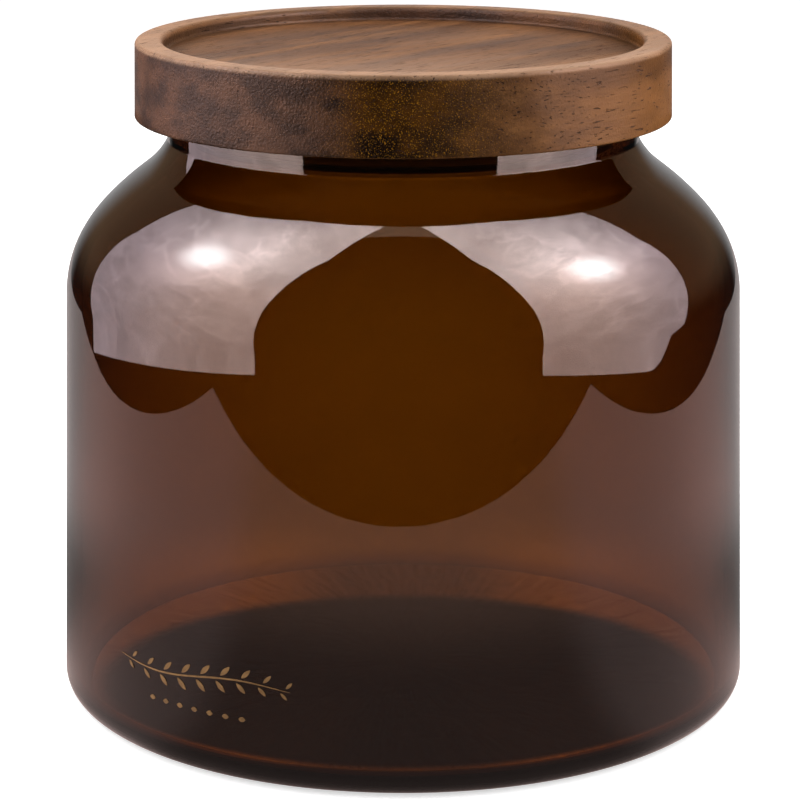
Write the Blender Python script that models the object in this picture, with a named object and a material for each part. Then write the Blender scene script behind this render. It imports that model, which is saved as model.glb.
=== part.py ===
"""Storage jar: a brown glass jar, its turned wood lid and the lid's silicone seal.

Metres, +Z up.  The origin is on the jar's axis, in the plane that its foot stands on.
Every piece is turned about that axis.  The wood lid's origin is on the axis of its joint, along
which it lifts off, and the seal is parented to the lid.
"""

import math

import bmesh
import bpy

SEGMENTS = 64
GAP = 0.0003

# Glass jar, outside
BODY_RADIUS = 0.0525
FOOT_CORNER_RADIUS = 0.0032
SHOULDER_START_Z = 0.0608
LOW_SHOULDER_RADIUS = 0.0176
LOW_SHOULDER_END = math.radians(29.4)
MID_SHOULDER_RADIUS = 0.0225
MID_SHOULDER_END = math.radians(43.5)
TOP_SHOULDER_RADIUS = 0.0440
TOP_SHOULDER_END = math.radians(52.3)
WAIST_RADIUS = 0.0126
WAIST_END_SLOPE = math.radians(27.0)
NECK_FILLET_RADIUS = 0.0005
NECK_RADIUS = 0.0369
LIP_ROUND = 0.0006

# Glass jar, inside
WALL = 0.0024
BASE_THICKNESS = 0.0023
FLOOR_CORNER_RADIUS = 0.0022

# Wood lid
LID_RADIUS = 0.0420
LID_UNDERSIDE_Z = 0.08745
LID_THICKNESS = 0.01195
LID_TOP_ROUND = 0.0007
LID_BOTTOM_ROUND = 0.0003
RIM_WIDTH = 0.0035
RIM_BEVEL = 0.0010
RECESS_DEPTH = 0.0022
RECESS_FILLET = 0.0006
PLUG_RADIUS = 0.0334
PLUG_DEPTH = 0.0036
PLUG_ROUND = 0.0004
GROOVE_DEPTH = 0.0014
GROOVE_HEIGHT = 0.0020
GROOVE_BELOW_LID = 0.0008

QUARTER = math.pi / 2

LIP_Z = LID_UNDERSIDE_Z - GAP
MOUTH_RADIUS = NECK_RADIUS - WALL


def arc(centre, radius, start, end, steps):
    """Points on a circular arc in the (r, z) plane, from one angle to the other, both ends included."""
    points = []
    for step in range(steps + 1):
        angle = start + (end - start) * step / steps
        points.append((centre[0] + radius * math.cos(angle), centre[1] + radius * math.sin(angle)))
    return points


def shoulder_profile(inset, steps):
    """Side, shoulder, waist and neck fillet of the glass, bottom to top, at a depth below its outer face.

    The straight side turns into a convex shoulder of three arcs, ever flatter, then a sloping straight
    run, the hollow waist and, through a small fillet, the upright neck.
    """
    points = []
    face = (BODY_RADIUS, SHOULDER_START_Z)
    start = 0.0
    for radius, end in (
        (LOW_SHOULDER_RADIUS, LOW_SHOULDER_END),
        (MID_SHOULDER_RADIUS, MID_SHOULDER_END),
        (TOP_SHOULDER_RADIUS, TOP_SHOULDER_END),
    ):
        centre = (face[0] - radius * math.cos(start), face[1] - radius * math.sin(start))
        points = points[:-1] + arc(centre, radius - inset, start, end, steps)
        face = (centre[0] + radius * math.cos(end), centre[1] + radius * math.sin(end))
        start = end
    waist_centre_r = NECK_RADIUS + NECK_FILLET_RADIUS * (1 - math.cos(WAIST_END_SLOPE))
    waist_centre_r += WAIST_RADIUS * math.cos(WAIST_END_SLOPE)
    waist_start_r = waist_centre_r - WAIST_RADIUS * math.cos(start)
    slope_rise = (face[0] - waist_start_r) / math.tan(start)
    waist_centre_z = face[1] + slope_rise + WAIST_RADIUS * math.sin(start)
    fillet_centre_r = NECK_RADIUS + NECK_FILLET_RADIUS
    fillet_centre_z = waist_centre_z
    fillet_centre_z -= (WAIST_RADIUS - NECK_FILLET_RADIUS) * math.sin(WAIST_END_SLOPE)
    points += arc(
        (waist_centre_r, waist_centre_z),
        WAIST_RADIUS + inset,
        math.pi + start,
        math.pi + WAIST_END_SLOPE,
        2 * steps,
    )
    points += arc(
        (fillet_centre_r, fillet_centre_z),
        NECK_FILLET_RADIUS + inset,
        math.pi + WAIST_END_SLOPE,
        math.pi,
        3,
    )[1:]
    return points


def jar_outline():
    """Section of the jar from the middle of its underside, round the lip, to the middle of its floor."""
    foot_centre = (BODY_RADIUS - FOOT_CORNER_RADIUS, FOOT_CORNER_RADIUS)
    floor_centre = (BODY_RADIUS - WALL - FLOOR_CORNER_RADIUS, BASE_THICKNESS + FLOOR_CORNER_RADIUS)
    outline = [(0.0, 0.0)]
    outline += arc(foot_centre, FOOT_CORNER_RADIUS, -QUARTER, 0.0, 4)
    outline += shoulder_profile(0.0, 3)
    outline += arc((NECK_RADIUS - LIP_ROUND, LIP_Z - LIP_ROUND), LIP_ROUND, 0.0, QUARTER, 3)
    outline += arc((MOUTH_RADIUS + LIP_ROUND, LIP_Z - LIP_ROUND), LIP_ROUND, QUARTER, math.pi, 3)
    outline += reversed(shoulder_profile(WALL, 3))
    outline += arc(floor_centre, FLOOR_CORNER_RADIUS, 0.0, -QUARTER, 4)
    outline.append((0.0, BASE_THICKNESS))
    return outline


def lid_outline():
    """Section of the lid from the middle of its recess, over the rim, to the middle of its plug.

    Heights are above the lid's underside, which is where its origin is.
    """
    floor_z = LID_THICKNESS - RECESS_DEPTH
    recess_radius = LID_RADIUS - RIM_WIDTH - RIM_BEVEL
    groove_radius = PLUG_RADIUS - GROOVE_DEPTH
    outline = [(0.0, floor_z)]
    outline += arc(
        (recess_radius - RECESS_FILLET, floor_z + RECESS_FILLET), RECESS_FILLET, -QUARTER, 0.0, 3
    )
    outline += arc((recess_radius + RIM_BEVEL, LID_THICKNESS - RIM_BEVEL), RIM_BEVEL, math.pi, QUARTER, 3)
    outline += arc(
        (LID_RADIUS - LID_TOP_ROUND, LID_THICKNESS - LID_TOP_ROUND), LID_TOP_ROUND, QUARTER, 0.0, 3
    )
    outline += arc(
        (LID_RADIUS - LID_BOTTOM_ROUND, LID_BOTTOM_ROUND), LID_BOTTOM_ROUND, 0.0, -QUARTER, 2
    )
    outline += [
        (PLUG_RADIUS, 0.0),
        (PLUG_RADIUS, -GROOVE_BELOW_LID),
        (groove_radius, -GROOVE_BELOW_LID),
        (groove_radius, -GROOVE_BELOW_LID - GROOVE_HEIGHT),
        (PLUG_RADIUS, -GROOVE_BELOW_LID - GROOVE_HEIGHT),
    ]
    outline += arc(
        (PLUG_RADIUS - PLUG_ROUND, PLUG_ROUND - PLUG_DEPTH), PLUG_ROUND, 0.0, -QUARTER, 2
    )
    outline.append((0.0, -PLUG_DEPTH))
    return outline


def seal_outline():
    """Closed section of the seal, with a round outer lip, about the middle of the plug's groove."""
    half_height = GROOVE_HEIGHT / 2 - GAP
    inner_radius = PLUG_RADIUS - GROOVE_DEPTH + GAP
    outer_radius = MOUTH_RADIUS - GAP
    outline = arc((outer_radius - half_height, 0.0), half_height, QUARTER, -QUARTER, 6)
    outline += [(inner_radius, -half_height), (inner_radius, half_height)]
    return outline


def principled(name, colour, roughness, transmission=0.0):
    """A Principled material; none of the pieces is metal."""
    material = bpy.data.materials.new(name)
    material.use_nodes = True
    shader = material.node_tree.nodes["Principled BSDF"]
    shader.inputs["Base Color"].default_value = (*colour, 1.0)
    shader.inputs["Roughness"].default_value = roughness
    shader.inputs["Metallic"].default_value = 0.0
    shader.inputs["Transmission Weight"].default_value = transmission
    material.diffuse_color = (*colour, 1.0)
    return material


def turned(name, outline, material, closed=False):
    """A smooth-shaded object made by turning an outline of (r, z) points about the Z axis."""
    turning = bmesh.new()
    points = [turning.verts.new((r, 0.0, z)) for r, z in outline]
    edges = [turning.edges.new(pair) for pair in zip(points, points[1:])]
    if closed:
        edges.append(turning.edges.new((points[-1], points[0])))
    bmesh.ops.spin(
        turning,
        geom=points + edges,
        cent=(0.0, 0.0, 0.0),
        axis=(0.0, 0.0, 1.0),
        angle=2 * math.pi,
        steps=SEGMENTS,
        use_merge=True,
    )
    bmesh.ops.remove_doubles(turning, verts=turning.verts, dist=1e-7)
    bmesh.ops.recalc_face_normals(turning, faces=turning.faces)
    mesh = bpy.data.meshes.new(name)
    turning.to_mesh(mesh)
    turning.free()
    mesh.materials.append(material)
    mesh.shade_smooth()
    mesh.set_sharp_from_angle(angle=math.radians(35))
    piece = bpy.data.objects.new(name, mesh)
    bpy.context.scene.collection.objects.link(piece)
    return piece


def main():
    for existing in list(bpy.data.objects):
        bpy.data.objects.remove(existing, do_unlink=True)

    brown_glass = principled("brown_glass", (0.16, 0.07, 0.03), 0.03, transmission=1.0)
    dark_wood = principled("dark_wood", (0.19, 0.10, 0.05), 0.55)
    clear_silicone = principled("clear_silicone", (0.72, 0.72, 0.70), 0.35)

    turned("glass_jar", jar_outline(), brown_glass)

    lid = turned("wood_lid", lid_outline(), dark_wood)
    lid.location.z = LID_UNDERSIDE_Z

    seal = turned("seal_ring", seal_outline(), clear_silicone, closed=True)
    seal.parent = lid
    seal.location.z = -GROOVE_BELOW_LID - GROOVE_HEIGHT / 2


main()
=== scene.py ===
"""Looks of the storage jar: brown glass, a turned wood lid, its silicone seal and a small printed sprig.

Metres, +Z up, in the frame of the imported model.  Every piece stands where its CAD node does.
"""

import math

import bpy
from mathutils import Matrix, Vector


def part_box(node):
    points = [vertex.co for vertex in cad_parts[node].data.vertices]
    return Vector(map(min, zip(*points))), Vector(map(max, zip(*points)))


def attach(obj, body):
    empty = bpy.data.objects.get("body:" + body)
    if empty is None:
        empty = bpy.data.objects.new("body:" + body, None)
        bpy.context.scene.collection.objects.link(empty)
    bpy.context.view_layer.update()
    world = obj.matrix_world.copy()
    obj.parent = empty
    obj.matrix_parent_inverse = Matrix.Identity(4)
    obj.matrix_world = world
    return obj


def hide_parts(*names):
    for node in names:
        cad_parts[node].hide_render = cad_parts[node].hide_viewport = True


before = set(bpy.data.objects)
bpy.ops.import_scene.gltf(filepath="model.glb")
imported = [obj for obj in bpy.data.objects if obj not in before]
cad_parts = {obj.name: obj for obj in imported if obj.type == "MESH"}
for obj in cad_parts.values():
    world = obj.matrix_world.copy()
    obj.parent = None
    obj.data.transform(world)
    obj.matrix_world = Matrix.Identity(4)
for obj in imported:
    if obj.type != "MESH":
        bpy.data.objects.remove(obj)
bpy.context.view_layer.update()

QUARTER = math.pi / 2
ROUND_STEPS = 256
GAP = 0.0003
ON_AXIS = 1e-9  # a radius below this is a single point

# The glass, whose outer sizes come from its CAD node
FOOT_CORNER_RADIUS = 0.0032
SHOULDER_START_Z = 0.0608
LOW_SHOULDER_RADIUS = 0.0176
LOW_SHOULDER_END = math.radians(29.4)
MID_SHOULDER_RADIUS = 0.0225
MID_SHOULDER_END = math.radians(43.5)
TOP_SHOULDER_RADIUS = 0.0440
TOP_SHOULDER_END = math.radians(52.3)
WAIST_RADIUS = 0.0126
WAIST_END_SLOPE = math.radians(27.0)
NECK_FILLET_RADIUS = 0.0005
NECK_RADIUS = 0.0369
LIP_ROUND = 0.0006
WALL = 0.0024
BASE_THICKNESS = 0.0023
FLOOR_CORNER_RADIUS = 0.0022

# The lid, whose outer sizes come from its CAD node
LID_TOP_ROUND = 0.0007
LID_BOTTOM_ROUND = 0.0003
RIM_WIDTH = 0.0035
RIM_BEVEL = 0.0010
RECESS_DEPTH = 0.0022
RECESS_FILLET = 0.0006
PLUG_RADIUS = 0.0334
PLUG_ROUND = 0.0004
GROOVE_DEPTH = 0.0014
GROOVE_HEIGHT = 0.0020
GROOVE_BELOW_LID = 0.0008
SEAL_EDGE_ROUND = 0.00015

_, JAR_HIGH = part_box("glass_jar")
LID_LOW, LID_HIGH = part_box("wood_lid")
SEAL_LOW, SEAL_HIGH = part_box("seal_ring")
BODY_RADIUS = JAR_HIGH[0]
LIP_Z = JAR_HIGH[2]
MOUTH_RADIUS = NECK_RADIUS - WALL
LID_RADIUS = LID_HIGH[0]
LID_TOP_Z = LID_HIGH[2]
LID_UNDERSIDE_Z = LIP_Z + GAP
PLUG_BOTTOM_Z = LID_LOW[2]


# ---------------------------------------------------------------- camera

CAMERA_DISTANCE = 0.4692
CAMERA_HEIGHT = 0.1618
LOOK_DOWN = 0.25444
LOOK_LEFT = 0.0011
SENSOR_MM = 36.0
LEVEL_LENS_MM = 134.61
NEAREST = 0.01
FARTHEST = 50.0


def make_camera():
    """A view camera: its back stays upright while it looks down, so the jar's sides stay parallel.

    The tilt is a shear of the camera's frame, held in its parent inverse.  LOOK_DOWN and LOOK_LEFT
    are slopes, and the lens grows with them so that the scale on the upright back stays the same.
    """
    sight = Vector((-LOOK_LEFT, 1.0, -LOOK_DOWN))
    away = -sight.normalized()
    camera = bpy.data.cameras.new("camera")
    camera.sensor_width = SENSOR_MM
    camera.lens = LEVEL_LENS_MM * sight.length
    camera.clip_start = NEAREST
    camera.clip_end = FARTHEST
    camera_object = bpy.data.objects.new("camera", camera)
    stand = bpy.data.objects.new("camera_stand", None)
    bpy.context.scene.collection.objects.link(stand)
    bpy.context.scene.collection.objects.link(camera_object)
    camera_object.parent = stand
    camera_object.matrix_parent_inverse = Matrix((
        (1.0, 0.0, away.x, 0.0),
        (0.0, 0.0, away.y, -CAMERA_DISTANCE),
        (0.0, 1.0, away.z, CAMERA_HEIGHT),
        (0.0, 0.0, 0.0, 1.0),
    ))
    bpy.context.scene.camera = camera_object


# ---------------------------------------------------------------- shapes

def add_mesh(name, points, faces, smooth_degrees=None):
    """An object from points and faces, shaded smooth up to an angle if one is given."""
    mesh = bpy.data.meshes.new(name)
    mesh.from_pydata(points, [], faces)
    mesh.update()
    if smooth_degrees is not None:
        mesh.shade_smooth()
        mesh.set_sharp_from_angle(angle=math.radians(smooth_degrees))
    piece = bpy.data.objects.new(name, mesh)
    bpy.context.scene.collection.objects.link(piece)
    return piece


def arc(centre, radius, start, end, steps):
    """Points on a circular arc in the (r, z) plane, from one angle to the other, both ends included."""
    points = []
    for step in range(steps + 1):
        angle = start + (end - start) * step / steps
        points.append((centre[0] + radius * math.cos(angle), centre[1] + radius * math.sin(angle)))
    return points


def run(start, end, steps):
    """Points on a straight run in the (r, z) plane, without its ends."""
    return [
        (start[0] + (end[0] - start[0]) * step / steps, start[1] + (end[1] - start[1]) * step / steps)
        for step in range(1, steps)
    ]


def turned(name, outline, closed=False, smooth_degrees=40):
    """A piece made by turning an outline of (r, z) points about the Z axis."""
    points = []
    rings = []
    for radius, z in outline:
        if radius < ON_AXIS:
            rings.append([len(points)] * ROUND_STEPS)
            points.append((0.0, 0.0, z))
            continue
        rings.append(list(range(len(points), len(points) + ROUND_STEPS)))
        for step in range(ROUND_STEPS):
            angle = 2 * math.pi * step / ROUND_STEPS
            points.append((radius * math.cos(angle), radius * math.sin(angle), z))
    if closed:
        rings.append(rings[0])
    faces = []
    for low, high in zip(rings, rings[1:]):
        for step in range(ROUND_STEPS):
            after = (step + 1) % ROUND_STEPS
            corners = [low[step], low[after], high[after], high[step]]
            faces.append(list(dict.fromkeys(corners)))
    return add_mesh(name, points, faces, smooth_degrees)


# ---------------------------------------------------------------- glass jar

def shoulder_profile(inset, steps):
    """Side, shoulder, waist and neck fillet of the glass, bottom to top, at a depth below its outer face."""
    points = []
    face = (BODY_RADIUS, SHOULDER_START_Z)
    start = 0.0
    for radius, end in (
        (LOW_SHOULDER_RADIUS, LOW_SHOULDER_END),
        (MID_SHOULDER_RADIUS, MID_SHOULDER_END),
        (TOP_SHOULDER_RADIUS, TOP_SHOULDER_END),
    ):
        centre = (face[0] - radius * math.cos(start), face[1] - radius * math.sin(start))
        points = points[:-1] + arc(centre, radius - inset, start, end, steps)
        face = (centre[0] + radius * math.cos(end), centre[1] + radius * math.sin(end))
        start = end
    waist_centre_r = NECK_RADIUS + NECK_FILLET_RADIUS * (1 - math.cos(WAIST_END_SLOPE))
    waist_centre_r += WAIST_RADIUS * math.cos(WAIST_END_SLOPE)
    waist_start_r = waist_centre_r - WAIST_RADIUS * math.cos(start)
    slope_rise = (face[0] - waist_start_r) / math.tan(start)
    waist_centre_z = face[1] + slope_rise + WAIST_RADIUS * math.sin(start)
    fillet_centre_z = waist_centre_z
    fillet_centre_z -= (WAIST_RADIUS - NECK_FILLET_RADIUS) * math.sin(WAIST_END_SLOPE)
    waist = arc(
        (waist_centre_r, waist_centre_z),
        WAIST_RADIUS + inset,
        math.pi + start,
        math.pi + WAIST_END_SLOPE,
        steps=2 * steps,
    )
    fillet = arc(
        (NECK_RADIUS + NECK_FILLET_RADIUS, fillet_centre_z),
        NECK_FILLET_RADIUS + inset,
        math.pi + WAIST_END_SLOPE,
        math.pi,
        steps=6,
    )
    return points + run(points[-1], waist[0], steps=4) + waist + fillet[1:]


def jar_outline():
    """Section of the jar from the middle of its underside, round the lip, to the middle of its floor."""
    foot_centre = (BODY_RADIUS - FOOT_CORNER_RADIUS, FOOT_CORNER_RADIUS)
    floor_centre = (BODY_RADIUS - WALL - FLOOR_CORNER_RADIUS, BASE_THICKNESS + FLOOR_CORNER_RADIUS)
    foot = arc(foot_centre, FOOT_CORNER_RADIUS, -QUARTER, 0.0, steps=12)
    outside = shoulder_profile(0.0, steps=14)
    lip = arc((NECK_RADIUS - LIP_ROUND, LIP_Z - LIP_ROUND), LIP_ROUND, 0.0, QUARTER, steps=6)
    lip += arc((MOUTH_RADIUS + LIP_ROUND, LIP_Z - LIP_ROUND), LIP_ROUND, QUARTER, math.pi, steps=6)
    inside = list(reversed(shoulder_profile(WALL, steps=14)))
    corner = arc(floor_centre, FLOOR_CORNER_RADIUS, 0.0, -QUARTER, steps=14)
    outline = [(0.0, 0.0)] + run((0.0, 0.0), foot[0], steps=6)
    outline += foot + run(foot[-1], outside[0], steps=12) + outside + lip
    outline += inside + run(inside[-1], corner[0], steps=12) + corner
    outline += run(corner[-1], (0.0, BASE_THICKNESS), steps=4) + [(0.0, BASE_THICKNESS)]
    return outline


# ---------------------------------------------------------------- lid and seal

def lid_outline():
    """Section of the lid from the middle of its recess, over the rim, to the middle of its plug."""
    floor_z = LID_TOP_Z - RECESS_DEPTH
    recess_radius = LID_RADIUS - RIM_WIDTH - RIM_BEVEL
    groove_radius = PLUG_RADIUS - GROOVE_DEPTH
    groove_top = LID_UNDERSIDE_Z - GROOVE_BELOW_LID
    groove_bottom = groove_top - GROOVE_HEIGHT
    fillet = arc(
        (recess_radius - RECESS_FILLET, floor_z + RECESS_FILLET), RECESS_FILLET, -QUARTER, 0.0, steps=8
    )
    bevel = arc(
        (recess_radius + RIM_BEVEL, LID_TOP_Z - RIM_BEVEL), RIM_BEVEL, math.pi, QUARTER, steps=10
    )
    top_round = arc(
        (LID_RADIUS - LID_TOP_ROUND, LID_TOP_Z - LID_TOP_ROUND), LID_TOP_ROUND, QUARTER, 0.0, steps=8
    )
    bottom_round = arc(
        (LID_RADIUS - LID_BOTTOM_ROUND, LID_UNDERSIDE_Z + LID_BOTTOM_ROUND),
        LID_BOTTOM_ROUND,
        0.0,
        -QUARTER,
        steps=8,
    )
    plug_round = arc(
        (PLUG_RADIUS - PLUG_ROUND, PLUG_BOTTOM_Z + PLUG_ROUND), PLUG_ROUND, 0.0, -QUARTER, steps=6
    )
    outline = [(0.0, floor_z)] + run((0.0, floor_z), fillet[0], steps=6)
    outline += fillet + bevel + top_round
    outline += run(top_round[-1], bottom_round[0], steps=6) + bottom_round
    outline += [
        (PLUG_RADIUS, LID_UNDERSIDE_Z),
        (PLUG_RADIUS, groove_top),
        (groove_radius, groove_top),
        (groove_radius, groove_bottom),
        (PLUG_RADIUS, groove_bottom),
    ]
    outline += plug_round + run(plug_round[-1], (0.0, PLUG_BOTTOM_Z), steps=4)
    outline.append((0.0, PLUG_BOTTOM_Z))
    return outline


def seal_outline():
    """Closed section of the seal: a flat band with a round outer lip and slightly rounded inner edges."""
    outer_radius = SEAL_HIGH[0]
    half_height = (SEAL_HIGH[2] - SEAL_LOW[2]) / 2
    middle_z = (SEAL_HIGH[2] + SEAL_LOW[2]) / 2
    inner_radius = PLUG_RADIUS - GROOVE_DEPTH + GAP
    outline = arc((outer_radius - half_height, middle_z), half_height, QUARTER, -QUARTER, steps=24)
    edge_r = inner_radius + SEAL_EDGE_ROUND
    low_edge = (edge_r, SEAL_LOW[2] + SEAL_EDGE_ROUND)
    high_edge = (edge_r, SEAL_HIGH[2] - SEAL_EDGE_ROUND)
    outline += arc(low_edge, SEAL_EDGE_ROUND, -QUARTER, -math.pi, steps=4)
    outline += arc(high_edge, SEAL_EDGE_ROUND, math.pi, QUARTER, steps=4)
    return outline


# ---------------------------------------------------------------- printed sprig

SPRIG_MIDDLE = math.radians(-124.5)
SPRIG_LENGTH = 0.0310
SPRIG_Z = 0.0141
STEM_WAVE = 0.0007
STEM_HALF_WIDTH = 0.00013
LEAF_PAIRS = 9
LEAF_LENGTH = 0.0022
LEAF_WIDTH = 0.00075
LEAF_LEAN = math.radians(42)
LEAF_OFFSET = 0.0004
SMALLEST_LEAF = 0.55
BUDS = 7
BUD_ROW_Z = 0.0094
BUD_SPACING = 0.0027
BUD_LENGTH = 0.0011
BUD_WIDTH = 0.0007
INK_LIFT = 0.00002
INK_THICKNESS = 0.00006


def stem_height(along):
    """Height of the sprig's stem, a slow wave, at a distance along the glass from its middle."""
    return SPRIG_Z + STEM_WAVE * math.sin(2 * math.pi * along / SPRIG_LENGTH)


def stem_outline():
    """The stem's lower and upper edges, as (distance along the glass, height) points.

    The strip tapers towards its ends.
    """
    steps = 48
    end_taper = 0.03
    upper = []
    lower = []
    for step in range(steps + 1):
        along = SPRIG_LENGTH * (step / steps - 0.5)
        taper = math.sqrt(max(end_taper, math.cos(math.pi * along / SPRIG_LENGTH)))
        upper.append((along, stem_height(along) + STEM_HALF_WIDTH * taper))
        lower.append((along, stem_height(along) - STEM_HALF_WIDTH * taper))
    return lower, upper


def leaf_outline(root, lean, length, width):
    """A pointed leaf's two edges from its root to its tip, leaning from the stem."""
    steps = 10
    end_bulge = 0.02
    roundness = 0.8
    direction = (math.cos(lean), math.sin(lean))
    across = (-direction[1], direction[0])
    edges = []
    for side in (-1, 1):
        edge = []
        for step in range(steps + 1):
            share = step / steps
            bulge = end_bulge + math.sin(math.pi * share) ** roundness
            reach = length * share
            offset = side * width / 2 * bulge
            edge.append((
                root[0] + direction[0] * reach + across[0] * offset,
                root[1] + direction[1] * reach + across[1] * offset,
            ))
        edges.append(edge)
    return edges


def on_glass(along, z, lift):
    """The place on the glass at a distance along it from the sprig's middle, lifted off its surface."""
    angle = SPRIG_MIDDLE + along / BODY_RADIUS
    radius = BODY_RADIUS + lift
    return (radius * math.cos(angle), radius * math.sin(angle), z)


def sprig_bands():
    """The lower and upper edges of each patch of ink: the stem, its leaves and the row of buds below."""
    first_pair = 0.7
    bands = [stem_outline()]
    for pair in range(LEAF_PAIRS):
        share = (pair + first_pair) / LEAF_PAIRS
        along = SPRIG_LENGTH * (share - 0.5)
        size = SMALLEST_LEAF + (1 - SMALLEST_LEAF) * math.sin(math.pi * share)
        for side in (-1, 1):
            start = along + side * LEAF_OFFSET
            root = (start, stem_height(start) + side * LEAF_OFFSET)
            bands.append(leaf_outline(root, side * LEAF_LEAN, LEAF_LENGTH * size, LEAF_WIDTH * size))
    for place in range(BUDS):
        middle = (place - BUDS // 2) * BUD_SPACING
        root = (middle - BUD_LENGTH / 2, BUD_ROW_Z)
        bands.append(leaf_outline(root, 0.0, BUD_LENGTH, BUD_WIDTH))
    return bands


def make_sprig():
    """A generic printed ornament, a stem with paired leaves, as thin closed patches of ink on the glass."""
    points = []
    faces = []
    for lower, upper in sprig_bands():
        count = len(lower)
        start = len(points)
        for lift in (INK_LIFT, INK_LIFT + INK_THICKNESS):
            for edge in (lower, upper):
                points += [on_glass(along, z, lift) for along, z in edge]
        under_low, under_high, over_low, over_high = (start + count * block for block in range(4))
        for step in range(count - 1):
            faces.append((over_low + step, over_low + step + 1, over_high + step + 1, over_high + step))
            faces.append((under_low + step, under_high + step, under_high + step + 1, under_low + step + 1))
            faces.append((under_low + step, under_low + step + 1, over_low + step + 1, over_low + step))
            faces.append((over_high + step, over_high + step + 1, under_high + step + 1, under_high + step))
        last = count - 1
        faces.append((under_low, over_low, over_high, under_high))
        faces.append((under_low + last, under_high + last, over_high + last, over_low + last))
    return add_mesh("printed_sprig", points, faces)


# ---------------------------------------------------------------- materials

class Nodes:
    """Shorthand for building a material's or a world's node tree."""

    def __init__(self, owner):
        owner.use_nodes = True
        self.tree = owner.node_tree
        self.tree.nodes.clear()

    def add(self, kind, **settings):
        node = self.tree.nodes.new(kind)
        for key, value in settings.items():
            setattr(node, key, value)
        return node

    def link(self, source, target):
        self.tree.links.new(source, target)

    def put(self, socket, value):
        """Links a socket to another, or sets it to a value."""
        if isinstance(value, bpy.types.NodeSocket):
            self.link(value, socket)
        else:
            socket.default_value = value

    def place(self):
        """Where the shaded point is, in metres from its object's origin."""
        return self.add("ShaderNodeTexCoord").outputs["Object"]

    def split(self, vector):
        """A vector's outputs "X", "Y" and "Z"."""
        node = self.add("ShaderNodeSeparateXYZ")
        self.link(vector, node.inputs[0])
        return node.outputs

    def length(self, vector):
        node = self.add("ShaderNodeVectorMath", operation="LENGTH")
        self.link(vector, node.inputs[0])
        return node.outputs["Value"]

    def distance(self, vector, point):
        node = self.add("ShaderNodeVectorMath", operation="DISTANCE")
        self.link(vector, node.inputs[0])
        node.inputs[1].default_value = point
        return node.outputs["Value"]

    def math(self, operation, first, second=0.0):
        node = self.add("ShaderNodeMath", operation=operation)
        self.put(node.inputs[0], first)
        self.put(node.inputs[1], second)
        return node.outputs[0]

    def product(self, first, *others):
        """All the values multiplied together."""
        for other in others:
            first = self.math("MULTIPLY", first, other)
        return first

    def azimuth(self, xyz):
        """Angle of a place from the front, -Y, round either side to the back, in radians."""
        aside = self.math("ABSOLUTE", xyz["X"])
        return self.math("ARCTAN2", aside, self.math("MULTIPLY", xyz["Y"], -1.0))

    def smooth(self, value, low, high, to_low=0.0, to_high=1.0):
        """A smooth step from to_low to to_high as value goes from low to high."""
        node = self.add("ShaderNodeMapRange", interpolation_type="SMOOTHSTEP")
        for name, given in (
            ("Value", value),
            ("From Min", low),
            ("From Max", high),
            ("To Min", to_low),
            ("To Max", to_high),
        ):
            self.put(node.inputs[name], given)
        return node.outputs["Result"]

    def mix(self, share, first, second):
        """A colour that goes from the first to the second as share goes from 0 to 1."""
        node = self.add("ShaderNodeMix", data_type="RGBA")
        self.put(node.inputs[0], share)
        self.put(node.inputs[6], first)
        self.put(node.inputs[7], second)
        return node.outputs[2]

    def stretched(self, vector, scale, turn=(0.0, 0.0, 0.0), shift=(0.0, 0.0, 0.0)):
        """A vector scaled, turned and then shifted."""
        node = self.add("ShaderNodeMapping")
        self.put(node.inputs["Vector"], vector)
        node.inputs["Scale"].default_value = scale
        node.inputs["Rotation"].default_value = turn
        node.inputs["Location"].default_value = shift
        return node.outputs["Vector"]

    def noise(self, vector, scale, detail, roughness=0.5, **placing):
        """Noise with features as fine as scale says, per metre, along each axis."""
        node = self.add("ShaderNodeTexNoise")
        self.link(self.stretched(vector, scale, **placing), node.inputs["Vector"])
        node.inputs["Scale"].default_value = 1.0
        node.inputs["Detail"].default_value = detail
        node.inputs["Roughness"].default_value = roughness
        return node.outputs["Fac"]

    def bump(self, height, distance, strength=1.0):
        node = self.add("ShaderNodeBump")
        node.inputs["Strength"].default_value = strength
        node.inputs["Distance"].default_value = distance
        self.link(height, node.inputs["Height"])
        return node.outputs["Normal"]

    def emission(self, tint, strength):
        node = self.add("ShaderNodeEmission")
        self.put(node.inputs["Color"], tint)
        self.put(node.inputs["Strength"], strength)
        return node.outputs[0]

    def diffuse(self, tint):
        node = self.add("ShaderNodeBsdfDiffuse")
        self.put(node.inputs["Color"], tint)
        return node.outputs[0]

    def surface(self, shader):
        """The material's output, with the shader joined to it."""
        output = self.add("ShaderNodeOutputMaterial")
        self.link(shader, output.inputs["Surface"])
        return output

    def principled(self, **inputs):
        """The material's output, joined to a Principled shader with sockets set or linked by name."""
        shader = self.add("ShaderNodeBsdfPrincipled")
        for name, value in inputs.items():
            self.put(shader.inputs[name.replace("_", " ")], value)
        return self.surface(shader.outputs["BSDF"])


def new_material(name):
    """A material and its empty node tree."""
    material = bpy.data.materials.new(name)
    return material, Nodes(material)


def colour(red, green, blue):
    """An opaque colour, in linear light."""
    return (red, green, blue, 1.0)


def even(scale):
    """The same scale along all three axes."""
    return (scale, scale, scale)


GLASS_IOR = 1.5
GLASS_TINT = colour(0.672, 0.535, 0.02)
GLASS_DENSITY = 2120.0
GLASS_RIPPLE = 0.00002
GLASS_SMUDGE_ROUGHNESS = 0.004


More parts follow.
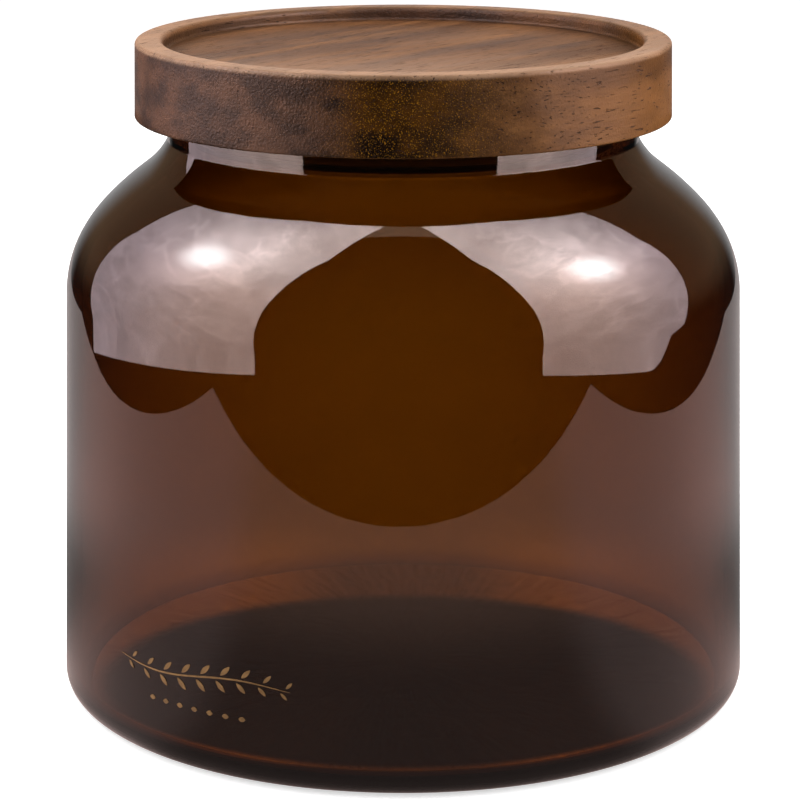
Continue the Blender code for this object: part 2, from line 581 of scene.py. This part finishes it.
def glass_material():
    """Brown glass: clear at its faces, coloured by its depth, with a faint ripple and a few smudges."""
    material, nodes = new_material("brown_glass")
    place = nodes.place()
    ripple = nodes.noise(place, (60.0, 60.0, 28.0), 1.0)
    smudge = nodes.noise(place, (90.0, 90.0, 130.0), 3.0)
    output = nodes.principled(
        Base_Color=colour(1.0, 1.0, 1.0),
        Transmission_Weight=1.0,
        IOR=GLASS_IOR,
        Roughness=nodes.smooth(smudge, 0.70, 0.95, 0.0, GLASS_SMUDGE_ROUGHNESS),
        Normal=nodes.bump(ripple, GLASS_RIPPLE),
    )
    absorption = nodes.add("ShaderNodeVolumeAbsorption")
    absorption.inputs["Color"].default_value = GLASS_TINT
    absorption.inputs["Density"].default_value = GLASS_DENSITY
    nodes.link(absorption.outputs["Volume"], output.inputs["Volume"])
    return material


GRAIN_TURN = (0.0, 0.0, math.radians(-50))
RING_SPACING = 0.0038
RING_WANDER = 0.016
PITH_HEIGHT = 0.040
WOOD_RELIEF = 0.00022
GOLDEN_FROM = -0.012
GOLDEN_TO = -0.0405

LONG_DARK = colour(0.066, 0.028, 0.010)
LONG_LIGHT = colour(0.140, 0.061, 0.021)
LONG_RING = colour(0.040, 0.015, 0.006)
LONG_STREAK = colour(0.200, 0.090, 0.030)
LONG_FIBRE = colour(0.025, 0.010, 0.004)
END_DARK = colour(0.020, 0.0085, 0.0045)
END_DARK_GOLDEN = colour(0.005, 0.0016, 0.0003)
END_LIGHT = colour(0.072, 0.031, 0.016)
END_LIGHT_GOLDEN = colour(0.046, 0.015, 0.0003)
END_FLECK = colour(0.140, 0.065, 0.028)
END_FLECK_GOLDEN = colour(0.270, 0.115, 0.006)
# Painted sheen: the paler colour of the rim's top face, standing in for reflected light
RIM_SHEEN = colour(0.290, 0.170, 0.102)
# Painted sheen: the paler colour of the lid's top, standing in for reflected overhead light
TOP_SHEEN = colour(0.330, 0.195, 0.120)
# Painted shade: the dark colour of the recess floor next to its wall at the left and right ends
RECESS_SHADE = colour(0.030, 0.014, 0.006)
SIDE_WARM = colour(0.200, 0.078, 0.020)
PORE_DARK = colour(0.014, 0.006, 0.003)


def growth_rings(nodes, board):
    """How far across the board a place is, with some wander, and the rings there, from 0 to 1."""
    xyz = nodes.split(board)
    drift = nodes.noise(board, (14.0, 40.0, 40.0), 2.0)
    wander = nodes.math("MULTIPLY", nodes.math("ADD", drift, -0.5), RING_WANDER)
    across = nodes.math("ADD", xyz["Y"], wander)
    depth = nodes.math("ADD", xyz["Z"], -PITH_HEIGHT)
    squares = nodes.math("ADD", nodes.math("POWER", across, 2.0), nodes.math("POWER", depth, 2.0))
    ring_place = nodes.math("MULTIPLY", nodes.math("SQRT", squares), 2 * math.pi / RING_SPACING)
    return across, nodes.smooth(nodes.math("SINE", ring_place), -0.5, 1.0)


def long_grain_colour(nodes, figure, rings, streaks, fibres):
    """Colour along the grain: a broad figure, darker in the rings and fibres and paler in the streaks."""
    wood = nodes.mix(nodes.smooth(figure, 0.34, 0.66), LONG_DARK, LONG_LIGHT)
    wood = nodes.mix(nodes.math("MULTIPLY", rings, 0.24), wood, LONG_RING)
    wood = nodes.mix(nodes.smooth(streaks, 0.45, 0.72, 0.0, 0.45), wood, LONG_STREAK)
    return nodes.mix(nodes.smooth(fibres, 0.35, 0.70, 0.35, 0.0), wood, LONG_FIBRE)


def end_grain_colour(nodes, board, rings, golden):
    """Dark and light patches with pale flecks, all of another colour where the wood is golden."""
    patches = nodes.noise(board, (110.0, 120.0, 190.0), 4.0, 0.6, shift=(3.1, 0.0, 0.0))
    flecks = nodes.smooth(nodes.noise(board, even(5200.0), 1.0), 0.56, 0.74)
    dark = nodes.mix(golden, END_DARK, END_DARK_GOLDEN)
    light = nodes.mix(golden, END_LIGHT, END_LIGHT_GOLDEN)
    wood = nodes.mix(nodes.smooth(patches, 0.40, 0.62), dark, light)
    wood = nodes.mix(nodes.math("MULTIPLY", rings, 0.25), wood, dark)
    fleck_share = nodes.product(flecks, nodes.smooth(golden, 0.0, 1.0, 0.35, 0.85))
    return nodes.mix(fleck_share, wood, nodes.mix(golden, END_FLECK, END_FLECK_GOLDEN))


def lid_sheen_shade_and_tone(nodes, body, place, facing_up, figure, streaks):
    """The wood's colour with painted sheen on the rim and top, painted shade in the recess's corners and a
    warmer right side.
    """
    xyz = nodes.split(place)
    radius = nodes.length(nodes.stretched(place, (1.0, 1.0, 0.0)))
    recess_radius = LID_RADIUS - RIM_WIDTH - RIM_BEVEL
    # Painted sheen on the rim's top face, brighter towards the front
    rim = nodes.product(
        nodes.smooth(radius, recess_radius, LID_RADIUS - RIM_WIDTH),
        nodes.smooth(xyz["Z"], LID_TOP_Z - 0.0009, LID_TOP_Z - 0.0003),
        nodes.smooth(streaks, 0.35, 0.65, 0.55, 0.90),
        nodes.smooth(xyz["Y"], -0.020, 0.030, 1.0, 0.5),
    )
    body = nodes.mix(rim, body, RIM_SHEEN)
    top = nodes.smooth(facing_up, 0.5, 0.9)
    # Painted sheen on the top faces, growing towards the front
    top_sheen = nodes.product(top, nodes.smooth(xyz["Y"], 0.004, -0.030, 0.0, 0.40))
    body = nodes.mix(top_sheen, body, TOP_SHEEN)
    # Painted shade where the rim's wall would shadow the recess floor, at its left and right ends
    recess_shade = nodes.product(
        nodes.smooth(radius, recess_radius - 0.0065, recess_radius - 0.0007),
        nodes.smooth(xyz["Z"], LID_TOP_Z - 0.0004, LID_TOP_Z - 0.0012),
        nodes.smooth(nodes.math("ABSOLUTE", xyz["X"]), 0.012, 0.030),
        nodes.smooth(radius, recess_radius + 0.0010, recess_radius + 0.0005, 0.0, 0.80),
    )
    body = nodes.mix(recess_shade, body, RECESS_SHADE)
    warm_side = nodes.product(
        nodes.math("SUBTRACT", 1.0, top),
        nodes.smooth(xyz["X"], 0.010, 0.026, 0.0, 0.46),
        nodes.smooth(figure, 0.36, 0.60, 0.35, 1.0),
    )
    return nodes.mix(warm_side, body, SIDE_WARM)


def wood_material():
    """Oiled dark acacia: long streaky grain with open pores, and speckled end grain with golden flecks."""
    material, nodes = new_material("dark_wood")
    coordinates = nodes.add("ShaderNodeTexCoord")
    place = coordinates.outputs["Object"]
    board = nodes.stretched(place, even(1.0), turn=GRAIN_TURN)
    facing = nodes.split(nodes.stretched(coordinates.outputs["Normal"], even(1.0), turn=GRAIN_TURN))
    end_grain = nodes.smooth(nodes.math("ABSOLUTE", facing["X"]), 0.30, 0.85)

    across, rings = growth_rings(nodes, board)
    golden = nodes.product(
        nodes.smooth(across, GOLDEN_FROM, GOLDEN_FROM - 0.012),
        nodes.smooth(across, GOLDEN_TO, GOLDEN_TO + 0.0035, 0.35, 1.0),
    )
    fibres = nodes.noise(board, (60.0, 1500.0, 1500.0), 3.0, 0.65)
    streaks = nodes.noise(board, (14.0, 300.0, 300.0), 4.0, 0.6)
    figure = nodes.noise(board, (26.0, 90.0, 110.0), 4.0, 0.6)
    pores = nodes.smooth(nodes.noise(board, (300.0, 3400.0, 3400.0), 1.5), 0.64, 0.72)
    pebble = nodes.noise(board, even(2600.0), 2.0, 0.6)

    body = nodes.mix(
        end_grain,
        long_grain_colour(nodes, figure, rings, streaks, fibres),
        end_grain_colour(nodes, board, rings, golden),
    )
    body = lid_sheen_shade_and_tone(nodes, body, place, facing["Z"], figure, streaks)
    body = nodes.mix(nodes.math("MULTIPLY", pores, 0.80), body, PORE_DARK)

    relief = nodes.product(pebble, nodes.smooth(end_grain, 0.0, 1.0, 0.35, 1.0))
    relief = nodes.math("ADD", relief, nodes.math("MULTIPLY", fibres, 0.30))
    relief = nodes.math("SUBTRACT", relief, nodes.math("MULTIPLY", pores, 0.9))
    streak_roughness = nodes.smooth(streaks, 0.3, 0.7, 0.31, 0.40)
    nodes.principled(
        Base_Color=body,
        Roughness=nodes.math("ADD", streak_roughness, nodes.math("MULTIPLY", pores, 0.25)),
        Specular_IOR_Level=nodes.smooth(golden, 0.0, 1.0, 0.14, 0.04),
        Normal=nodes.bump(relief, WOOD_RELIEF, 0.9),
    )
    return material


def silicone_material():
    """Clear silicone: milky, soft and slightly dusty."""
    material, nodes = new_material("clear_silicone")
    place = nodes.place()
    cloud = nodes.noise(place, (180.0, 180.0, 400.0), 3.0)
    dust = nodes.noise(place, even(1500.0), 2.0)
    nodes.principled(
        Base_Color=nodes.mix(cloud, colour(0.62, 0.62, 0.58), colour(0.80, 0.80, 0.77)),
        Roughness=nodes.smooth(dust, 0.35, 0.65, 0.28, 0.45),
        Transmission_Weight=0.35,
        IOR=1.41,
        Normal=nodes.bump(dust, 0.00002),
    )
    return material


def ink_material():
    """Dull bronze printing ink, worn a little thin in places."""
    material, nodes = new_material("bronze_ink")
    place = nodes.place()
    grain = nodes.noise(place, even(4200.0), 2.0)
    worn = nodes.smooth(nodes.noise(place, even(700.0), 2.0), 0.35, 0.7)
    nodes.principled(
        Base_Color=nodes.mix(worn, colour(0.13, 0.072, 0.022), colour(0.20, 0.115, 0.038)),
        Metallic=0.35,
        Roughness=nodes.smooth(grain, 0.3, 0.7, 0.38, 0.55),
        Normal=nodes.bump(grain, 0.00001),
    )
    return material


# ---------------------------------------------------------------- studio

WHITE = colour(1.0, 1.0, 1.0)

DOME_RADIUS = 0.280
DOME_HEIGHT = 0.480
DOME_ROUNDNESS = 0.8
DOME_STEPS = 32
CLOTH_LEVEL = 8.2
HALO_LEVEL = 8.5
HALO_RISE = 0.036
HOT_SPOT_LEVEL = 9.0

FLAG_FRONT = math.radians(24)
FLAG_BACK = math.radians(130)
FLAG_TAPER = 2.5
FLAG_DROP = 0.0001
FLAG_UNDER_LID = 0.0010
FLAG_PAST_LID = 0.0018

FLOOR_REACH = 6.0
# Size and place of the painted shadow patch on the floor under the jar
SHADE_HALF_WIDTH = 0.0468
SHADE_HALF_DEPTH = 0.0385
SHADE_FORWARD = 0.0066
FLOOR_GLOW = 0.60

TABLE_HALF_WIDTH = 0.230
TABLE_BACK = 0.5
TABLE_Z = 0.0001
TABLE_FRONT = 0.137
TABLE_FRONT_BULGE = 0.041
TABLE_FRONT_SLANT = 0.006


def reflected_only(card):
    """Only glossy reflections see this card, and it casts no shadow."""
    card.visible_camera = False
    card.visible_diffuse = False
    card.visible_transmission = False
    card.visible_volume_scatter = False
    card.visible_shadow = False


def dome_point(azimuth, rise):
    """A place on the diffusion dome: azimuth from the front, -Y, towards +X, and rise from 0 to 1."""
    angle = rise * QUARTER
    radius = DOME_RADIUS * math.cos(angle) ** DOME_ROUNDNESS
    return (radius * math.sin(azimuth), -radius * math.cos(azimuth), DOME_HEIGHT * math.sin(angle))


def dome_side(name, front, back_low, back_high, back_lift):
    """The part of the dome from a front azimuth to a back edge that leans.

    back_lift raises the lower back corner, as a share of the dome's rise.
    """
    steps = DOME_STEPS
    lean_steepness = 1.6
    lift_start = 0.7
    front_bottom, back_bottom = 0.004, -0.006
    front_top, back_top = 0.95, 0.90
    points = []
    for row in range(steps + 1):
        back = back_low + (back_high - back_low) * min(1.0, lean_steepness * row / steps)
        for column in range(steps + 1):
            share = column / steps
            corner_lift = back_lift * max(0.0, (share - lift_start) / (1 - lift_start)) ** 2
            lowest = front_bottom + (back_bottom - front_bottom) * share + corner_lift
            highest = front_top + (back_top - front_top) * share
            rise = lowest + (highest - lowest) * row / steps
            points.append(dome_point(front + (back - front) * share, rise))
    faces = []
    width = steps + 1
    for row in range(steps):
        for column in range(steps):
            first = row * width + column
            faces.append((first, first + 1, first + width + 1, first + width))
    return add_mesh(name, points, faces)


def wrinkled_cloth(nodes, place):
    """Brightness of wrinkled cloth, about 1: soft folds, creases, ridges, and facets with pale seams."""
    folds = nodes.noise(place, (24.0, 17.0, 26.0), 6.0, 0.62)
    creases = nodes.noise(place, (85.0, 30.0, 60.0), 3.0, 0.55, turn=(0.5, 0.3, 0.8))
    ridge_noise = nodes.noise(place, (26.0, 44.0, 26.0), 4.0, turn=(0.2, 0.9, 0.4))
    ridges = nodes.math("ABSOLUTE", nodes.math("ADD", ridge_noise, -0.5))
    bends = nodes.add("ShaderNodeVectorMath", operation="MULTIPLY_ADD")
    nodes.link(place, bends.inputs[0])
    bends.inputs[1].default_value = (15.0, 9.0, 15.0)
    nodes.link(folds, bends.inputs[2])
    facets = nodes.add("ShaderNodeTexVoronoi", feature="F1")
    seams = nodes.add("ShaderNodeTexVoronoi", feature="DISTANCE_TO_EDGE")
    for cells in (facets, seams):
        nodes.link(bends.outputs[0], cells.inputs["Vector"])
        cells.inputs["Scale"].default_value = 1.0
    facet_shade = nodes.split(facets.outputs["Color"])["X"]
    return nodes.product(
        nodes.smooth(folds, 0.36, 0.64, 0.92, 1.09),
        nodes.smooth(creases, 0.44, 0.56, 0.97, 1.03),
        nodes.smooth(ridges, 0.0, 0.030, 1.08, 0.99),
        nodes.smooth(facets.outputs["Distance"], 0.1, 0.8, 1.03, 0.96),
        nodes.smooth(facet_shade, 0.2, 0.8, 0.94, 1.06),
        nodes.smooth(seams.outputs["Distance"], 0.0, 0.07, 1.16, 1.0),
    )


def diffuser(name, front, back_low, back_high, back_lift, hot_spot):
    """One side of a wrinkled cloth dome round the jar, glowing most round its hot spot.

    It is dimmer low down and towards the back.  Only glossy reflections see it; area lamps give the
    light that falls on things.
    """
    card = dome_side(name, front, back_low, back_high, back_lift)
    material, nodes = new_material(name)
    place = nodes.place()
    xyz = nodes.split(place)
    azimuth = nodes.azimuth(xyz)
    hot_x, hot_y, hot_z = hot_spot
    halo_middle = (hot_x, hot_y, hot_z + HALO_RISE)
    glow = nodes.smooth(nodes.distance(place, hot_spot), 0.012, 0.066, 1.0, 0.0)
    halo = nodes.smooth(nodes.distance(place, halo_middle), 0.02, 0.19, 1.0, 0.0)
    cloth = nodes.product(
        wrinkled_cloth(nodes, place),
        nodes.smooth(xyz["Z"], 0.0, 0.26, 0.56, 1.04),
        nodes.smooth(azimuth, math.radians(66), math.radians(126), 1.0, 0.28),
    )
    level = nodes.math("ADD", nodes.math("MULTIPLY", halo, HALO_LEVEL), CLOTH_LEVEL)
    level = nodes.product(cloth, level)
    level = nodes.math("ADD", level, nodes.math("MULTIPLY", glow, HOT_SPOT_LEVEL))
    tint = nodes.mix(nodes.smooth(azimuth, 1.0, 2.1), colour(1.0, 0.745, 0.675), colour(1.0, 0.80, 0.86))
    tint = nodes.mix(nodes.smooth(xyz["Z"], 0.18, 0.36, 0.0, 0.6), tint, colour(1.0, 0.87, 0.86))
    tint = nodes.mix(nodes.math("MULTIPLY", glow, 0.8), tint, WHITE)
    nodes.surface(nodes.emission(tint, level))
    card.data.materials.append(material)
    reflected_only(card)


def ceiling_card():
    """A dim warm card overhead that only reflections see."""
    half_width = 0.16
    front = -0.073
    back = 0.30
    z = 0.60
    card = add_mesh(
        "ceiling_card",
        [(-half_width, front, z), (half_width, front, z), (half_width, back, z), (-half_width, back, z)],
        [(0, 1, 2, 3)],
    )
    material, nodes = new_material("ceiling_card")
    nodes.surface(nodes.emission(colour(1.0, 0.72, 0.50), 1.3))
    card.data.materials.append(material)
    reflected_only(card)


def lid_flag(name, side):
    """A black flag just below the lid's edge, on the side of that sign, tapered at its front end.

    It keeps the diffusers' reflections out of the glass's waist.
    """
    steps = 32
    level = LID_UNDERSIDE_Z - FLAG_DROP
    inner = []
    outer = []
    for step in range(steps + 1):
        share = step / steps
        angle = side * (FLAG_FRONT + (FLAG_BACK - FLAG_FRONT) * share)
        for edge, radius in (
            (inner, LID_RADIUS - FLAG_UNDER_LID),
            (outer, LID_RADIUS + FLAG_PAST_LID * min(1.0, FLAG_TAPER * share)),
        ):
            edge.append((radius * math.sin(angle), -radius * math.cos(angle), level))
    faces = [(step, step + 1, steps + step + 2, steps + step + 1) for step in range(steps)]
    flag = add_mesh(name, inner + outer, faces)
    material, nodes = new_material(name)
    nodes.surface(nodes.diffuse(colour(0.004, 0.002, 0.001)))
    flag.data.materials.append(material)
    reflected_only(flag)


def floor_material():
    """Pale matt floor with a dark patch under the jar, a painted shadow.

    It glows a little to the camera, and to rays through the glass everywhere but in the patch.
    """
    material, nodes = new_material("floor")
    rays = nodes.add("ShaderNodeLightPath").outputs
    place = nodes.place()
    patch = nodes.length(nodes.stretched(
        place,
        (1 / SHADE_HALF_WIDTH, 1 / SHADE_HALF_DEPTH, 0.0),
        shift=(0.0, SHADE_FORWARD / SHADE_HALF_DEPTH, 0.0),
    ))
    open_floor = nodes.smooth(patch, 0.94, 1.06)
    aside = nodes.math("ABSOLUTE", nodes.split(place)["X"])
    edge_glow = nodes.smooth(aside, 0.008, 0.026, 0.75, 2.3)
    seen_through = nodes.product(open_floor, nodes.smooth(patch, 1.5, 2.6, edge_glow, 0.42))
    seen_through = nodes.product(rays["Is Transmission Ray"], seen_through)
    glow = nodes.math("ADD", nodes.math("MULTIPLY", rays["Is Camera Ray"], FLOOR_GLOW), seen_through)
    # The patch's dark grey is painted shadow under the jar, seen only through the glass
    tint = nodes.mix(open_floor, colour(0.16, 0.17, 0.18), colour(0.80, 0.80, 0.80))
    both = nodes.add("ShaderNodeAddShader")
    nodes.link(nodes.diffuse(tint), both.inputs[0])
    nodes.link(nodes.emission(WHITE, glow), both.inputs[1])
    nodes.surface(both.outputs[0])
    return material


def table_material():
    """The table as reflections see it, a painted reflection: warm, darker near the jar in painted shade,
    brighter away from it and aside, and greyer behind.
    """
    material, nodes = new_material("table_top")
    place = nodes.place()
    azimuth = nodes.azimuth(nodes.split(place))
    reach = nodes.length(place)
    aside = nodes.smooth(azimuth, math.radians(38), math.radians(54))
    near = nodes.mix(aside, colour(0.34, 0.25, 0.23), colour(0.66, 0.50, 0.47))
    far = nodes.mix(aside, colour(1.08, 0.66, 0.51), colour(1.32, 0.84, 0.76))
    rear_near = nodes.mix(
        nodes.smooth(reach, 0.078, 0.135), colour(0.20, 0.185, 0.18), colour(0.40, 0.37, 0.36)
    )
    near = nodes.mix(nodes.smooth(azimuth, math.radians(80), math.radians(116)), near, rear_near)
    rear_share = nodes.smooth(azimuth, math.radians(94), math.radians(138))
    far = nodes.mix(rear_share, far, colour(0.53, 0.47, 0.46))
    tint = nodes.mix(nodes.smooth(reach, 0.095, 0.160), near, far)
    nodes.surface(nodes.emission(tint, 1.0))
    return material


def make_floor():
    """A wide pale floor.  Reflections see only a table top of it, with a curved front edge."""
    reach = FLOOR_REACH
    floor = add_mesh(
        "floor",
        [(-reach, -reach, 0.0), (reach, -reach, 0.0), (reach, reach, 0.0), (-reach, reach, 0.0)],
        [(0, 1, 2, 3)],
    )
    floor.data.materials.append(floor_material())
    floor.visible_glossy = False
    steps = 12
    edge = []
    for step in range(steps + 1):
        share = step / steps
        forward = TABLE_FRONT + TABLE_FRONT_BULGE * math.sin(math.pi * share) + TABLE_FRONT_SLANT * share
        edge.append((TABLE_HALF_WIDTH * (2 * share - 1), -forward, TABLE_Z))
    edge.append((TABLE_HALF_WIDTH, TABLE_BACK, TABLE_Z))
    edge.append((-TABLE_HALF_WIDTH, TABLE_BACK, TABLE_Z))
    table = add_mesh("table_top", edge, [tuple(range(len(edge)))])
    table.data.materials.append(table_material())
    reflected_only(table)


def area_lamp(name, place, aim_height, size, power):
    """A rectangular lamp, aimed at the jar's axis, that can't be seen, reflected or met through glass."""
    lamp = bpy.data.lights.new(name, "AREA")
    lamp.shape = "RECTANGLE"
    lamp.size, lamp.size_y = size
    lamp.energy = power
    lamp_object = bpy.data.objects.new(name, lamp)
    bpy.context.scene.collection.objects.link(lamp_object)
    lamp_object.location = place
    sight = Vector((0.0, 0.0, aim_height)) - Vector(place)
    lamp_object.rotation_euler = sight.to_track_quat("-Z", "Y").to_euler()
    lamp_object.visible_camera = False
    lamp_object.visible_glossy = False
    lamp_object.visible_transmission = False


def make_world():
    """A white surround, dimmer as a light and through glass.

    Reflections see it dark in front, warm above the horizon at the rear, and pale straight behind.
    """
    world = bpy.data.worlds.new("world")
    bpy.context.scene.world = world
    nodes = Nodes(world)
    rays = nodes.add("ShaderNodeLightPath").outputs
    way = nodes.split(nodes.add("ShaderNodeTexCoord").outputs["Generated"])
    rear = nodes.product(nodes.smooth(way["Y"], 0.05, 0.40), nodes.smooth(way["Z"], -0.12, 0.16))
    straight_behind = nodes.smooth(way["Y"], 0.85, 0.98)
    reflected = nodes.mix(rear, colour(0.012, 0.012, 0.012), colour(0.28, 0.17, 0.10))
    reflected = nodes.mix(straight_behind, reflected, colour(0.46, 0.45, 0.45))
    diffuse_level = nodes.smooth(way["Y"], -0.6, 0.6, 0.25, 0.80)
    level = nodes.math("MULTIPLY", rays["Is Diffuse Ray"], diffuse_level)
    level = nodes.math("ADD", level, nodes.math("MULTIPLY", rays["Is Transmission Ray"], 0.42))
    level = nodes.math("ADD", level, rays["Is Camera Ray"])
    background = nodes.add("ShaderNodeBackground")
    nodes.link(nodes.mix(rays["Is Glossy Ray"], level, reflected), background.inputs["Color"])
    output = nodes.add("ShaderNodeOutputWorld")
    nodes.link(background.outputs[0], output.inputs["Surface"])


def make_studio():
    """The world, the floor and every card, flag and lamp; none of them is part of the object."""
    make_world()
    make_floor()
    diffuser(
        "left_diffuser",
        front=math.radians(-45),
        back_low=math.radians(-118),
        back_high=math.radians(-128),
        back_lift=0.0,
        hot_spot=(-0.2370, -0.0040, 0.280),
    )
    diffuser(
        "right_diffuser",
        front=math.radians(42),
        back_low=math.radians(98),
        back_high=math.radians(120),
        back_lift=0.035,
        hot_spot=(0.239, -0.048, 0.262),
    )
    ceiling_card()
    lid_flag("left_flag", -1)
    lid_flag("right_flag", 1)
    area_lamp("left_lamp", (-0.30, -0.05, 0.22), aim_height=0.05, size=(0.42, 0.36), power=1.2)
    area_lamp("right_lamp", (0.30, -0.07, 0.22), aim_height=0.05, size=(0.38, 0.36), power=1.2)
    area_lamp("back_lamp", (0.0, 0.34, 0.44), aim_height=0.08, size=(0.50, 0.30), power=3.6)


# ---------------------------------------------------------------- the object

def make_object():
    """The jar, its lid, the lid's seal and the sprig printed on the glass."""
    jar = turned("jar_glass", jar_outline(), smooth_degrees=60)
    jar.data.materials.append(glass_material())
    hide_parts("glass_jar")
    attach(jar, "jar")

    lid = turned("lid_wood", lid_outline())
    lid.data.materials.append(wood_material())
    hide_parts("wood_lid")
    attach(lid, "lid")

    seal = turned("seal_silicone", seal_outline(), closed=True)
    seal.data.materials.append(silicone_material())
    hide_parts("seal_ring")
    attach(seal, "lid")

    sprig = make_sprig()
    sprig.data.materials.append(ink_material())
    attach(sprig, "jar")


bpy.context.scene.view_settings.view_transform = "Standard"
make_camera()
make_object()
make_studio()
